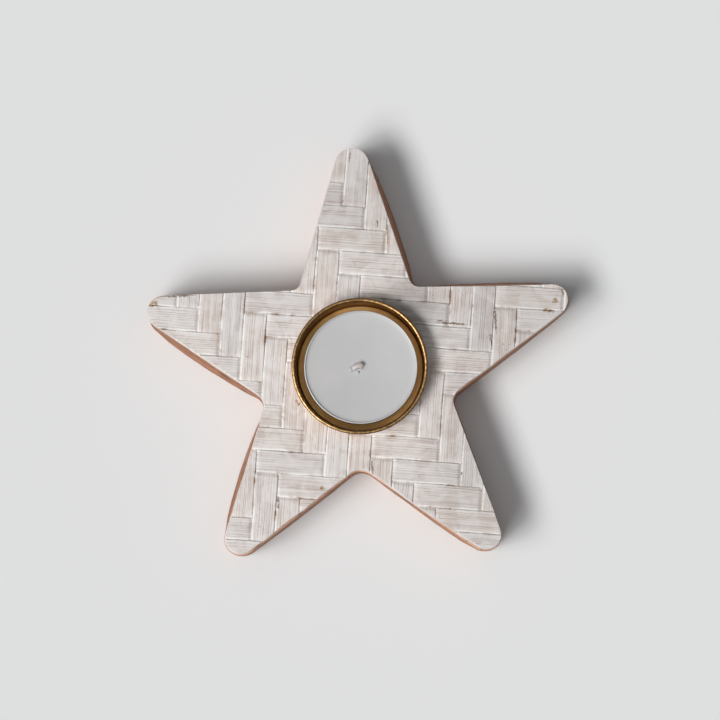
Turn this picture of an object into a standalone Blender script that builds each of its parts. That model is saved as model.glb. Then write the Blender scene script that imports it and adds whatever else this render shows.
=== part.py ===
"""Star-shaped tealight holder.

A hand-cut five-pointed wooden star is covered with a whitewashed bamboo mat, woven in a
three-over, three-under twill. A brass cup is let into a blind pocket in the middle, and a
tealight stands in the cup and lifts straight out of it.

Frame: metres, +Z up. The origin is on the cup's axis at the star's underside, +X runs
across the two side points and +Y towards the upper point.
"""
import math

import bmesh
import bpy
from mathutils import Matrix, Vector

MM = 0.001
CLEARANCE = 0.3 * MM            # gap between two pieces that rest on or in each other

# Star block
BLOCK_HEIGHT = 18.5 * MM
TIP_STEPS = 10                  # straight pieces in each rounded point
NOTCH_STEPS = 5                 # straight pieces in each rounded notch
EDGE_STEPS = 8                  # straight pieces in each side of a point

# The star is sawn by hand, so its walls aren't upright: the foot, at the underside, differs
# from the head, under the mat.
# The five points, anticlockwise from the upper one. Each has the centre and radius of its
# round end at the head, how much both differ at the foot, and the bow of its two sides at
# the foot: how far the side runs out, and where it is fullest, from 0 at the end of the
# point to 1 at the notch.
POINTS = (
    {"end": (-2.75, 69.35), "radius": 5.95, "foot_shift": (0.3, -0.3), "foot_grows": 0.5,
     "bow_in": (1.3, 0.45), "bow_out": (0.3, 0.5)},
    {"end": (-67.2, 18.8), "radius": 5.8, "foot_shift": (0.0, 0.0), "foot_grows": 0.9,
     "bow_in": (0.6, 0.3), "bow_out": (1.3, 0.45)},
    {"end": (-40.5, -58.5), "radius": 5.8, "foot_shift": (-0.7, 0.0), "foot_grows": 0.5,
     "bow_in": (1.6, 0.5), "bow_out": (0.3, 0.5)},
    {"end": (42.7, -57.2), "radius": 5.6, "foot_shift": (-0.1, 0.0), "foot_grows": 0.2,
     "bow_in": (0.7, 0.22), "bow_out": (0.3, 0.5)},
    {"end": (65.8, 22.9), "radius": 5.6, "foot_shift": (0.0, 0.8), "foot_grows": 0.7,
     "bow_in": (0.3, 0.5), "bow_out": (0.8, 0.5)},
)

# The five notches: the corner that the two sides aim at, the radius that rounds it, and
# how far the corner has moved at the foot. Each follows the point of the same number.
NOTCHES = (
    {"corner": (-21.15, 26.45), "radius": 3.0, "foot_shift": (-0.3, 0.4)},
    {"corner": (-32.1, -11.6), "radius": 4.5, "foot_shift": (-0.7, -0.45)},
    {"corner": (0.0, -34.2), "radius": 5.8, "foot_shift": (0.2, -0.45)},
    {"corner": (31.1, -10.2), "radius": 4.0, "foot_shift": (0.9, -0.1)},
    {"corner": (17.8, 27.5), "radius": 3.5, "foot_shift": (1.1, 1.2)},
)
BOW_FLATNESS = 0.6              # under 1, a bow is flatter in its middle than a sine's

# Brass cup
CUP_RADIUS = 22.5 * MM          # outside of the wall
CUP_WALL = 0.6 * MM
CUP_BOTTOM = 8.5 * MM
CUP_TOP = 26.4 * MM
CUP_CORNER = 1.4 * MM           # outside radius between wall and floor
BEAD_RADIUS = 0.65 * MM         # rolled rim
POCKET_RADIUS = CUP_RADIUS + CLEARANCE
POCKET_FLOOR = CUP_BOTTOM - CLEARANCE

# Tealight
TEALIGHT_PLACE = Vector((0.35, -0.3, 0.0)) * MM   # it stands loose, a little off the cup's axis
TEALIGHT_RADIUS = 19.25 * MM    # over the lip
TEALIGHT_HEIGHT = 16.0 * MM
TEALIGHT_LIP = 0.4 * MM
TEALIGHT_WALL = 0.3 * MM
TEALIGHT_CORNER = 1.0 * MM
TEALIGHT_BOTTOM = CUP_BOTTOM + CUP_WALL + CLEARANCE
TEALIGHT_FLOOR = TEALIGHT_BOTTOM + TEALIGHT_WALL
WAX_BELOW_LIP = 1.3 * MM
WAX_TOP = TEALIGHT_BOTTOM + TEALIGHT_HEIGHT - WAX_BELOW_LIP
WAX_BOTTOM = TEALIGHT_FLOOR + CLEARANCE

# Wick and the metal tab that holds it upright in the wax
WICK_RADIUS = 0.7 * MM
WICK_LEAN = Vector((-3.6, -1.4)) * MM    # where the free end lies, from the tealight's axis
WICK_RISE = 1.7 * MM                     # height of the free end above the wax
WICK_POINTS = 9
TAB_RADIUS = 6.0 * MM
TAB_THICKNESS = 0.3 * MM
TAB_TUBE_HEIGHT = 3.0 * MM
TAB_TUBE_BORE = WICK_RADIUS + CLEARANCE
TAB_TUBE_RADIUS = TAB_TUBE_BORE + TAB_THICKNESS

# Bamboo mat
STRIP_PITCH = 7.75 * MM
STRIP_GAP = 0.75 * MM           # between neighbours: a crossing strip climbs or dives in it
STRIP_THICKNESS = 0.5 * MM
STRIP_CLEARANCE = 0.2 * MM      # between the two layers, and under the lower one
LOWER_LEVEL = BLOCK_HEIGHT + STRIP_CLEARANCE
UPPER_LEVEL = LOWER_LEVEL + STRIP_THICKNESS + STRIP_CLEARANCE
WEAVE_TURN = math.radians(-4.0)          # the weft falls a little towards the right
WEAVE_START = Vector((-2.0, 0.5)) * MM   # a crossing of gaps, along the weft and the warp
TWILL_REPEAT = 6
TWILL_OVER = 3
WEAVE_REACH = 10                # crossings to each side of the start, past the points
SMALLEST_PIECE = 12.0 * MM ** 2  # an offcut under this area isn't kept

TURN_STEPS = 56
CORNER_STEPS = 4
BEAD_STEPS = 10


def clear_scene():
    for obj in list(bpy.data.objects):
        bpy.data.objects.remove(obj, do_unlink=True)


def new_collection(name):
    collection = bpy.data.collections.new(name)
    bpy.context.scene.collection.children.link(collection)
    return collection


def new_material(name, color, roughness, metallic=0.0):
    material = bpy.data.materials.new(name)
    material.use_nodes = True
    shader = material.node_tree.nodes["Principled BSDF"]
    shader.inputs["Base Color"].default_value = (*color, 1.0)
    shader.inputs["Roughness"].default_value = roughness
    shader.inputs["Metallic"].default_value = metallic
    return material


def new_object(name, data, collection, material=None):
    obj = bpy.data.objects.new(name, data)
    collection.objects.link(obj)
    if material is not None:
        data.materials.append(material)
    return obj


def make_cutter(obj):
    obj.hide_render = True
    obj.display_type = "WIRE"


def evaluated_mesh(obj):
    depsgraph = bpy.context.evaluated_depsgraph_get()
    return bpy.data.meshes.new_from_object(obj.evaluated_get(depsgraph))


def boolean(obj, cutter, operation):
    modifier = obj.modifiers.new(cutter.name, "BOOLEAN")
    modifier.operation = operation
    modifier.solver = "EXACT"
    modifier.object = cutter


def arc(centre, radius, start, sweep, steps):
    """Points on an arc, both ends included."""
    angles = [start + sweep * step / steps for step in range(steps + 1)]
    return [centre + radius * Vector((math.cos(a), math.sin(a))) for a in angles]


def heading(vector):
    return math.atan2(vector.y, vector.x)


# ---------------------------------------------------------------- star outline

def tangent_point(corner, centre, radius, side):
    """Where a line from corner touches the circle; side is +1 or -1."""
    reach = corner - centre
    angle = heading(reach) + side * math.acos(radius / reach.length)
    return centre + radius * Vector((math.cos(angle), math.sin(angle)))


def notch_arc(corner, before, after, radius):
    """The arc that rounds a notch between the sides that come from before and go to after."""
    to_before = (before - corner).normalized()
    to_after = (after - corner).normalized()
    half_angle = to_before.angle(to_after) / 2
    centre = corner + (to_before + to_after).normalized() * radius / math.sin(half_angle)
    first = corner + to_before * radius / math.tan(half_angle)
    last = corner + to_after * radius / math.tan(half_angle)
    start = heading(first - centre)
    sweep = (heading(last - centre) - start + math.pi) % math.tau - math.pi
    return arc(centre, radius, start, sweep, NOTCH_STEPS)


def bowed_side(tip, notch, bow, fullest):
    """Points between tip and notch, pushed out of the star by up to bow."""
    along = notch - tip
    outward = Vector((along.y, -along.x)).normalized()
    power = math.log(0.5) / math.log(fullest)
    points = []
    for step in range(1, EDGE_STEPS):
        part = step / EDGE_STEPS
        swell = math.sin(math.pi * part ** power) ** BOW_FLATNESS
        points.append(tip + along * part + outward * bow * swell)
    return points


def star_outline(foot):
    """The star anticlockwise: straight-sided with foot 0, as its foot is with foot 1."""
    ends = [(Vector(point["end"]) + foot * Vector(point["foot_shift"])) * MM
            for point in POINTS]
    radii = [(point["radius"] + foot * point["foot_grows"]) * MM for point in POINTS]
    corners = [(Vector(notch["corner"]) + foot * Vector(notch["foot_shift"])) * MM
               for notch in NOTCHES]
    count = len(POINTS)
    arrive = [tangent_point(corners[i - 1], ends[i], radii[i], 1) for i in range(count)]
    leave = [tangent_point(corners[i], ends[i], radii[i], -1) for i in range(count)]
    notches = []
    for i, notch in enumerate(NOTCHES):
        following = arrive[(i + 1) % count]
        notches.append(notch_arc(corners[i], leave[i], following, notch["radius"] * MM))

    outline = []
    for i, point in enumerate(POINTS):
        bow, fullest = point["bow_in"]
        incoming = bowed_side(arrive[i], notches[i - 1][-1], -bow * MM * foot, fullest)
        outline += reversed(incoming)
        start = heading(arrive[i] - ends[i])
        sweep = (heading(leave[i] - ends[i]) - start) % math.tau
        outline += arc(ends[i], radii[i], start, sweep, TIP_STEPS)
        bow, fullest = point["bow_out"]
        outline += bowed_side(leave[i], notches[i][0], bow * MM * foot, fullest)
        outline += notches[i]
    return outline


# ---------------------------------------------------------------- solids

def lofted_prism(name, lower, bottom, upper, top, collection, material=None):
    """A solid between two outlines that have the same number of points."""
    mesh = bpy.data.meshes.new(name)
    bm = bmesh.new()
    low = [bm.verts.new((p.x, p.y, bottom)) for p in lower]
    high = [bm.verts.new((p.x, p.y, top)) for p in upper]
    bm.faces.new(reversed(low))
    bm.faces.new(high)
    for i in range(len(low)):
        bm.faces.new((low[i - 1], low[i], high[i], high[i - 1]))
    bm.to_mesh(mesh)
    bm.free()
    return new_object(name, mesh, collection, material)


def cylinder_cutter(name, radius, bottom, top, collection):
    mesh = bpy.data.meshes.new(name)
    bm = bmesh.new()
    bmesh.ops.create_cone(bm, cap_ends=True, segments=TURN_STEPS, radius1=radius,
                          radius2=radius, depth=top - bottom)
    bm.to_mesh(mesh)
    bm.free()
    obj = new_object(name, mesh, collection)
    obj.location.z = (bottom + top) / 2
    make_cutter(obj)
    return obj


def turned(name, profile, collection, material, closed=False):
    """A solid of revolution; the profile runs down its outer side."""
    mesh = bpy.data.meshes.new(name)
    edges = [(i, i + 1) for i in range(len(profile) - 1)]
    if closed:
        edges.append((len(profile) - 1, 0))
    mesh.from_pydata([(p.x, 0.0, p.y) for p in profile], edges, [])
    obj = new_object(name, mesh, collection, material)
    screw = obj.modifiers.new("Turn", "SCREW")
    screw.steps = TURN_STEPS
    screw.render_steps = TURN_STEPS
    screw.use_merge_vertices = True
    screw.merge_threshold = 0.00001
    screw.use_smooth_shade = True
    return obj


def corner_arc(wall_radius, floor, radius, inward):
    """The quarter arc between a cup's floor and wall; inward runs from wall to floor."""
    centre = Vector((wall_radius - radius, floor + radius))
    if inward:
        return arc(centre, radius, 0.0, -math.pi / 2, CORNER_STEPS)
    return arc(centre, radius, -math.pi / 2, math.pi / 2, CORNER_STEPS)


def make_star_block(collection, cutters, material):
    block = lofted_prism("star_block", star_outline(1.0), 0.0, star_outline(0.0),
                         BLOCK_HEIGHT, collection, material)
    pocket = cylinder_cutter("cup_pocket", POCKET_RADIUS, POCKET_FLOOR, 2 * BLOCK_HEIGHT,
                             cutters)
    boolean(block, pocket, "DIFFERENCE")


def make_brass_cup(collection, material):
    inside = CUP_RADIUS - CUP_WALL
    bead_centre = Vector((inside + BEAD_RADIUS, CUP_TOP - BEAD_RADIUS))
    profile = [Vector((0.0, CUP_BOTTOM + CUP_WALL))]
    profile += corner_arc(inside, CUP_BOTTOM + CUP_WALL, CUP_CORNER - CUP_WALL, False)
    profile += arc(bead_centre, BEAD_RADIUS, math.pi, -1.5 * math.pi, BEAD_STEPS)
    profile += corner_arc(CUP_RADIUS, CUP_BOTTOM, CUP_CORNER, True)
    profile.append(Vector((0.0, CUP_BOTTOM)))
    turned("brass_cup", profile, collection, material)


def make_tealight_cup(collection, material):
    lip_top = TEALIGHT_BOTTOM + TEALIGHT_HEIGHT
    outside = TEALIGHT_RADIUS - TEALIGHT_LIP
    inside = outside - TEALIGHT_WALL
    profile = [Vector((0.0, TEALIGHT_FLOOR))]
    profile += corner_arc(inside, TEALIGHT_FLOOR, TEALIGHT_CORNER - TEALIGHT_WALL, False)
    profile += [
        Vector((inside, lip_top)),
        Vector((TEALIGHT_RADIUS, lip_top)),
        Vector((TEALIGHT_RADIUS, lip_top - TEALIGHT_LIP)),
        Vector((outside, lip_top - 2 * TEALIGHT_LIP)),
    ]
    profile += corner_arc(outside, TEALIGHT_BOTTOM, TEALIGHT_CORNER, True)
    profile.append(Vector((0.0, TEALIGHT_BOTTOM)))
    return turned("tealight_cup", profile, collection, material)


def make_wick_tab(collection, material):
    top = WAX_BOTTOM + TAB_THICKNESS
    tube_top = WAX_BOTTOM + TAB_TUBE_HEIGHT
    profile = [
        Vector((TAB_TUBE_BORE, WAX_BOTTOM)),
        Vector((TAB_TUBE_BORE, tube_top)),
        Vector((TAB_TUBE_RADIUS, tube_top)),
        Vector((TAB_TUBE_RADIUS, top)),
        Vector((TAB_RADIUS, top)),
        Vector((TAB_RADIUS, WAX_BOTTOM)),
    ]
    return turned("wick_tab", profile, collection, material, closed=True)


def make_wax(collection, material):
    """The wax, cast round the tab and the wick, with clearance to both and to the cup."""
    side = TEALIGHT_RADIUS - TEALIGHT_LIP - TEALIGHT_WALL - CLEARANCE
    wick_bore = WICK_RADIUS + CLEARANCE
    tube_bore = TAB_TUBE_RADIUS + CLEARANCE
    tube_room = WAX_BOTTOM + TAB_TUBE_HEIGHT + CLEARANCE
    tab_room = WAX_BOTTOM + TAB_THICKNESS + CLEARANCE
    profile = [
        Vector((TAB_RADIUS + CLEARANCE, WAX_BOTTOM)),
        Vector((TAB_RADIUS + CLEARANCE, tab_room)),
        Vector((tube_bore, tab_room)),
        Vector((tube_bore, tube_room)),
        Vector((wick_bore, tube_room)),
        Vector((wick_bore, WAX_TOP)),
        Vector((side, WAX_TOP)),
        Vector((side, WAX_BOTTOM + TEALIGHT_CORNER)),
        Vector((side - TEALIGHT_CORNER, WAX_BOTTOM)),
    ]
    return turned("wax", profile, collection, material, closed=True)


def make_wick(collection, material):
    """A cord up the wax's axis that bends over above it."""
    curve = bpy.data.curves.new("wick", "CURVE")
    curve.dimensions = "3D"
    curve.bevel_depth = WICK_RADIUS
    curve.bevel_resolution = 2
    curve.use_fill_caps = True
    points = [Vector((0.0, 0.0, WAX_BOTTOM + CLEARANCE)), Vector((0.0, 0.0, WAX_TOP))]
    bend_start = WAX_TOP + WICK_RADIUS / 2
    for step in range(WICK_POINTS):
        turn = math.pi / 2 * step / (WICK_POINTS - 1)
        lean = WICK_LEAN * (1 - math.cos(turn))
        rise = WICK_RISE - WICK_RADIUS / 2
        points.append(Vector((lean.x, lean.y, bend_start + rise * math.sin(turn))))
    spline = curve.splines.new("POLY")
    spline.points.add(len(points) - 1)
    for control, point in zip(spline.points, points):
        control.co = (*point, 1.0)
    return new_object("wick", curve, collection, material)


# ---------------------------------------------------------------- woven mat

def strip_underside(start, is_over):
    """Distance and height along a strip's underside: level over or under each run of
    crossing strips, and sloping only in the gaps between them."""
    level = [UPPER_LEVEL if is_over(crossing) else LOWER_LEVEL
             for crossing in range(-WEAVE_REACH, WEAVE_REACH)]
    path = [(start - WEAVE_REACH * STRIP_PITCH, level[0])]
    for number in range(1, len(level)):
        if level[number] != level[number - 1]:
            middle = start + (number - WEAVE_REACH) * STRIP_PITCH
            path.append((middle - STRIP_GAP / 2, level[number - 1]))
            path.append((middle + STRIP_GAP / 2, level[number]))
    path.append((start + WEAVE_REACH * STRIP_PITCH, level[-1]))
    return path


def strip_mesh(name, start, is_over):
    """A whole strip along +Y, centred on X."""
    underside = strip_underside(start, is_over)
    side = underside + [(y, z + STRIP_THICKNESS) for y, z in reversed(underside)]
    width = STRIP_PITCH - STRIP_GAP
    mesh = bpy.data.meshes.new(name)
    bm = bmesh.new()
    face = bm.faces.new([bm.verts.new((-width / 2, y, z)) for y, z in side])
    swept = bmesh.ops.extrude_face_region(bm, geom=[face])["geom"]
    moved = [item for item in swept if isinstance(item, bmesh.types.BMVert)]
    bmesh.ops.translate(bm, verts=moved, vec=(width, 0.0, 0.0))
    bmesh.ops.recalc_face_normals(bm, faces=bm.faces)
    bm.to_mesh(mesh)
    bm.free()
    return mesh


def linked_faces(face):
    """Every face of the solid that this face belongs to."""
    found, waiting = {face}, [face]
    while waiting:
        for edge in waiting.pop().edges:
            for neighbour in edge.link_faces:
                if neighbour not in found:
                    found.add(neighbour)
                    waiting.append(neighbour)
    return found


def separate_solids(mesh):
    """Each solid of a mesh that is big enough to keep, as its own mesh."""
    bm = bmesh.new()
    bm.from_mesh(mesh)
    waiting = set(bm.faces)
    pieces = []
    while waiting:
        solid = linked_faces(next(iter(waiting)))
        waiting -= solid
        area = sum(abs(face.normal.z) * face.calc_area() for face in solid) / 2
        if area >= SMALLEST_PIECE:
            pieces.append(sorted(face.index for face in solid))
    meshes = []
    for piece in sorted(pieces):
        part = bm.copy()
        part.faces.ensure_lookup_table()
        keep = {part.faces[i] for i in piece}
        bmesh.ops.delete(part, geom=[f for f in part.faces if f not in keep],
                         context="FACES")
        part_mesh = bpy.data.meshes.new(mesh.name)
        part.to_mesh(part_mesh)
        part.free()
        meshes.append(part_mesh)
    bm.free()
    return meshes


def weave(name, turn, across_start, along_start, is_over, cutters, outline):
    """One family of strips, cut to the mat's outline: a list of (matrix, mesh)."""
    pieces = []
    for index in range(-WEAVE_REACH, WEAVE_REACH):
        def over(crossing, strip=index):
            return is_over(strip, crossing)
        blank = new_object(name, strip_mesh(name, along_start, over), cutters)
        centre = across_start + (index + 0.5) * STRIP_PITCH
        blank.matrix_world = turn @ Matrix.Translation((centre, 0.0, 0.0))
        boolean(blank, outline, "INTERSECT")
        bpy.context.view_layer.update()
        pieces += [(blank.matrix_world.copy(), mesh)
                   for mesh in separate_solids(evaluated_mesh(blank))]
        bpy.data.objects.remove(blank, do_unlink=True)
    return pieces


def make_mat(collection, cutters, material):
    """The warp runs up the star and the weft across it. Where the sum of a warp strip's
    and a weft strip's numbers is in the first half of the repeat, the warp is on top."""
    outline = star_outline(0.0)
    mat_shape = lofted_prism("mat_shape", outline, LOWER_LEVEL - CLEARANCE, outline,
                             UPPER_LEVEL + 2 * STRIP_THICKNESS, cutters)
    make_cutter(mat_shape)
    hole = cylinder_cutter("mat_hole", POCKET_RADIUS, 0.0, 2 * BLOCK_HEIGHT, cutters)
    boolean(mat_shape, hole, "DIFFERENCE")

    def warp_over(warp, weft):
        return (warp + weft) % TWILL_REPEAT < TWILL_OVER

    def weft_over(weft, warp):
        return not warp_over(warp, -1 - weft)

    warp_turn = Matrix.Rotation(WEAVE_TURN, 4, "Z")
    weft_turn = Matrix.Rotation(WEAVE_TURN - math.pi / 2, 4, "Z")
    families = {
        "warp": weave("warp", warp_turn, WEAVE_START.x, WEAVE_START.y, warp_over,
                      cutters, mat_shape),
        "weft": weave("weft", weft_turn, -WEAVE_START.y, WEAVE_START.x, weft_over,
                      cutters, mat_shape),
    }
    for family, pieces in families.items():
        for number, (matrix, mesh) in enumerate(pieces, start=1):
            name = f"{family}_strip_{number:02d}"
            mesh.name = name
            strip = new_object(name, mesh, collection, material)
            strip.matrix_world = matrix


def main():
    clear_scene()
    parts = new_collection("tealight_holder")
    cutters = new_collection("cutters")
    make_star_block(parts, cutters, new_material("stained_wood", (0.36, 0.19, 0.11), 0.75))
    make_mat(parts, cutters, new_material("whitewashed_bamboo", (0.78, 0.73, 0.70), 0.7))
    make_brass_cup(parts, new_material("brass", (0.62, 0.40, 0.14), 0.25, 1.0))
    tealight = (
        make_tealight_cup(parts, new_material("aluminium", (0.80, 0.80, 0.82), 0.3, 1.0)),
        make_wax(parts, new_material("wax", (0.86, 0.86, 0.86), 0.5)),
        make_wick(parts, new_material("wick_cotton", (0.85, 0.84, 0.80), 0.8)),
        make_wick_tab(parts, new_material("tinned_steel", (0.66, 0.66, 0.66), 0.35, 1.0)),
    )
    place = bpy.data.objects.new("tealight", None)
    parts.objects.link(place)
    place.location = TEALIGHT_PLACE
    for piece in tealight:
        piece.parent = place


main()
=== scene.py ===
"""The looks of the star tealight holder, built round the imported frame.

Metres, +Z up, the same frame as the CAD: the origin is on the cup's axis at the star's
underside. Outlines and sizes are read from the frame wherever it holds them.
"""
import math
import random

import bmesh
import bpy
from mathutils import Matrix, Vector, noise


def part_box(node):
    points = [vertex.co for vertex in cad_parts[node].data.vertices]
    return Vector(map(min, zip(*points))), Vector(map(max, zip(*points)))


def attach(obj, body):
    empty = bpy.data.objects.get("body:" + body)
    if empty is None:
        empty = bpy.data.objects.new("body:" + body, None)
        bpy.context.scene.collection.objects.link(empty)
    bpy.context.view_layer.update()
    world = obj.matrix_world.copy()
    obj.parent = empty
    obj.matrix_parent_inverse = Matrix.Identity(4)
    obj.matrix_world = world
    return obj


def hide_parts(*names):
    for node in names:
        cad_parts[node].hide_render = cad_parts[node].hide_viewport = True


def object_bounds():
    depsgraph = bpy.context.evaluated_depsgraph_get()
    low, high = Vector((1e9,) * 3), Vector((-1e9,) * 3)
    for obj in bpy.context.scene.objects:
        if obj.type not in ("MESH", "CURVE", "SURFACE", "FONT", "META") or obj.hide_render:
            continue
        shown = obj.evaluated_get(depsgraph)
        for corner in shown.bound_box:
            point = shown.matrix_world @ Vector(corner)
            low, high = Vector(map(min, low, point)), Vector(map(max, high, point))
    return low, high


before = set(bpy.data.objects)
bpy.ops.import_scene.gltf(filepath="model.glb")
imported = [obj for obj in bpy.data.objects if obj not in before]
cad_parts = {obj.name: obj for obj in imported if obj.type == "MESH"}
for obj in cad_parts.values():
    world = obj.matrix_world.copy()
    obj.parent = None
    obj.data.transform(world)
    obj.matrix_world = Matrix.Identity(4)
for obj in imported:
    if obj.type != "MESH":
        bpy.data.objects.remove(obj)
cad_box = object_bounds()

MM = 0.001
random.seed(11)

HOLDER, TEALIGHT = "holder", "tealight"

# Weave, as in the CAD: strips of one width in a three-over, three-under twill
STRIP_PITCH = 7.75 * MM
WEAVE_TURN = math.radians(-4.0)
WEAVE_START = Vector((-2.0, 0.5)) * MM
TWILL_REPEAT = 6
TWILL_OVER = 3
WEAVE_REACH = 10
STRIP_THICKNESS = 0.5 * MM
LEVEL_GAP = 0.2 * MM

# Star block
BLOCK_ARRIS = 0.45 * MM         # radius of its rubbed edges
SAW_WAVER = 0.10 * MM
SAW_RIPPLE = 0.05 * MM
CLEARANCE = 0.3 * MM            # between the cup and its pocket, as in the CAD

# How the real strips differ from plain ribbons
SEAM = 0.10 * MM                # usual gap between two neighbours
SEAM_VARIES = 0.17 * MM
SEAM_WANDER = 0.30 * MM         # how far a seam strays from the even pitch
SEAM_RAGGED = 0.05 * MM
EDGE_WIDTH = 0.55 * MM          # rounded over this width...
EDGE_DROP = 0.36 * MM           # ...down by this much
EDGE_STEPS = 5
CROWN = 0.05 * MM
FLOAT_ARCH = 0.10 * MM          # a float stands a little higher in its middle
DIVE_BEFORE = 1.25 * MM         # a float bends down from here before the seam...
DIVE_AFTER = 0.45 * MM          # ...and lies flat from here after it
DIVE_STEPS = 7
ROLL = math.radians(0.8)        # a strip lies a little tilted about its length
GROOVE_DEPTH = 0.085 * MM
GROOVE_WIDTH = (0.10 * MM, 0.17 * MM)    # from its bottom to its brink
GROOVE_SPACING = (0.44 * MM, 1.0 * MM)
FIBRE_RELIEF = 0.022 * MM
PAINT_RELIEF = 0.016 * MM
FLOAT_STEP = 0.75 * MM
OUTLINE_STEP = 0.5 * MM
SMALLEST_OFFCUT = 0.4 * MM ** 2
NODE_NEAR = 2.2 * MM            # a cut strip this near a CAD strip's middle stands for it

# The mat stops short of the block's arris in places: (middle, reach, inset), in millimetres
MAT_INSET = 0.03 * MM
MAT_SHORT = (((-36, -63), 8, 0.55), ((-25, -54), 9, 0.52), ((-12, -44), 9, 0.45),
             ((0, -36), 8, 0.38), ((8, -40), 7, 0.25), ((40, -62), 8, 0.60), ((31, -56), 5, 0.3),
             ((50, 29), 20, 0.25), ((72, 22), 6, 0.35), ((38, -6), 6, 0.30),
             ((51, 4), 8, 0.2), ((-70, 25), 5, 0.3))

# A float that has broken off at the left point, and lies lower; its colour is painted darker and
# grey, as painted shade in its recess
SUNKEN_PLACE = Vector((-62.5, 23.5)) * MM
SUNKEN_REACH = 8.0 * MM
SUNKEN_DROP = 0.45 * MM

# The cup's shadow reaches further than these lamps throw it, so the mat itself is made
# darker there: where, from and to what distance, and how dark
DIM_PLACE = Vector((17.5, 20.5, 19.9)) * MM
DIM_REACH = (3.0 * MM, 15.0 * MM)
DIM_LEVEL = 0.66

# Light
KEY_TINT = (1.0, 0.995, 0.99)
SKY_TINT = (0.955, 1.0, 1.025, 1.0)
SKY_LOW = 0.05
SKY_HIGH = 0.80
SKY_POWER = 6.0                 # how closely the brightness gathers overhead


# ---------------------------------------------------------------- small helpers

def link(obj):
    bpy.context.scene.collection.objects.link(obj)
    return obj


def mesh_object(name, vertices, faces, material, smooth=True):
    mesh = bpy.data.meshes.new(name)
    mesh.from_pydata(vertices, [], faces)
    mesh.materials.append(material)
    if smooth:
        mesh.shade_smooth()
    return link(bpy.data.objects.new(name, mesh))


def arc(centre, radius, start, sweep, steps):
    angles = [start + sweep * step / steps for step in range(steps + 1)]
    return [centre + radius * Vector((math.cos(a), math.sin(a))) for a in angles]


def smoothstep(low, high, value):
    part = min(1.0, max(0.0, (value - low) / (high - low)))
    return part * part * (3 - 2 * part)


def boolean(obj, cutter, operation):
    """Cuts or joins at once, and keeps the result as the object's own mesh."""
    modifier = obj.modifiers.new("Cut", "BOOLEAN")
    modifier.operation = operation
    modifier.solver = "MANIFOLD"
    modifier.object = cutter
    bpy.context.view_layer.update()
    depsgraph = bpy.context.evaluated_depsgraph_get()
    mesh = bpy.data.meshes.new_from_object(obj.evaluated_get(depsgraph))
    old = obj.data
    obj.modifiers.clear()
    obj.data = mesh
    bpy.data.meshes.remove(old)


def remove(obj):
    bpy.data.objects.remove(obj, do_unlink=True)


# ---------------------------------------------------------------- outlines from the frame

def signed_area(loop):
    return sum(a.x * b.y - b.x * a.y for a, b in zip(loop, loop[1:] + loop[:1])) / 2


def flat_loops(node, height):
    """The outlines of a node's flat face at this height, anticlockwise, biggest first."""
    bm = bmesh.new()
    bm.from_mesh(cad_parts[node].data)
    bmesh.ops.remove_doubles(bm, verts=bm.verts, dist=0.01 * MM)

    def is_flat(face):
        return (abs(face.normal.z) > 0.999
                and abs(face.calc_center_median().z - height) < 0.01 * MM)

    follow = {}
    for edge in bm.edges:
        if sum(is_flat(face) for face in edge.link_faces) == 1:
            a, b = edge.verts
            follow.setdefault(a.index, []).append(b)
            follow.setdefault(b.index, []).append(a)
    bm.verts.ensure_lookup_table()
    loops = []
    while follow:
        start = next(iter(follow))
        loop, previous, current = [], None, bm.verts[start]
        while current.index in follow:
            ends = follow.pop(current.index)
            loop.append(current.co.xy.copy())
            following = ends[0] if ends[0] != previous else ends[1]
            previous, current = current, following
        if signed_area(loop) < 0:
            loop.reverse()
        loops.append(loop)
    bm.free()
    return sorted(loops, key=signed_area, reverse=True)


def evened(loop):
    """The loop with its long sides divided, and its corners a little eased."""
    points = []
    for point, following in zip(loop, loop[1:] + loop[:1]):
        steps = max(1, math.ceil((following - point).length / OUTLINE_STEP))
        points += [point.lerp(following, step / steps) for step in range(steps)]
    for _ in range(2):
        points = [points[i - 1] * 0.25 + points[i] * 0.5 + points[(i + 1) % len(points)] * 0.25
                  for i in range(len(points))]
    return points


def seen_from_middle(loop, guide):
    """For each point of the guide, where its ray from the middle leaves the loop."""
    points = []
    for ray in guide:
        for a, b in zip(loop, loop[1:] + loop[:1]):
            side = b - a
            turn = ray.x * side.y - ray.y * side.x
            if abs(turn) < 1e-12:
                continue
            reach = (a.x * side.y - a.y * side.x) / turn
            part = (a.x * ray.y - a.y * ray.x) / turn
            if reach > 0 and -1e-6 <= part <= 1 + 1e-6:
                points.append(ray * reach)
                break
    return points


def outward(loop):
    """The outward normal at each point of an anticlockwise loop."""
    normals = []
    for i in range(len(loop)):
        along = loop[(i + 1) % len(loop)] - loop[i - 1]
        normals.append(Vector((along.y, -along.x)).normalized())
    return normals


block_low, block_high = (corner.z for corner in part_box("star_block"))
top_loops = flat_loops("star_block", block_high)
mat_outline = evened(top_loops[0])
foot_outline = seen_from_middle(flat_loops("star_block", block_low)[0], mat_outline)
pocket_radius = top_loops[1][0].length
lower_level = block_high + LEVEL_GAP
upper_level = lower_level + STRIP_THICKNESS + LEVEL_GAP


# ---------------------------------------------------------------- material nodes

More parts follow.
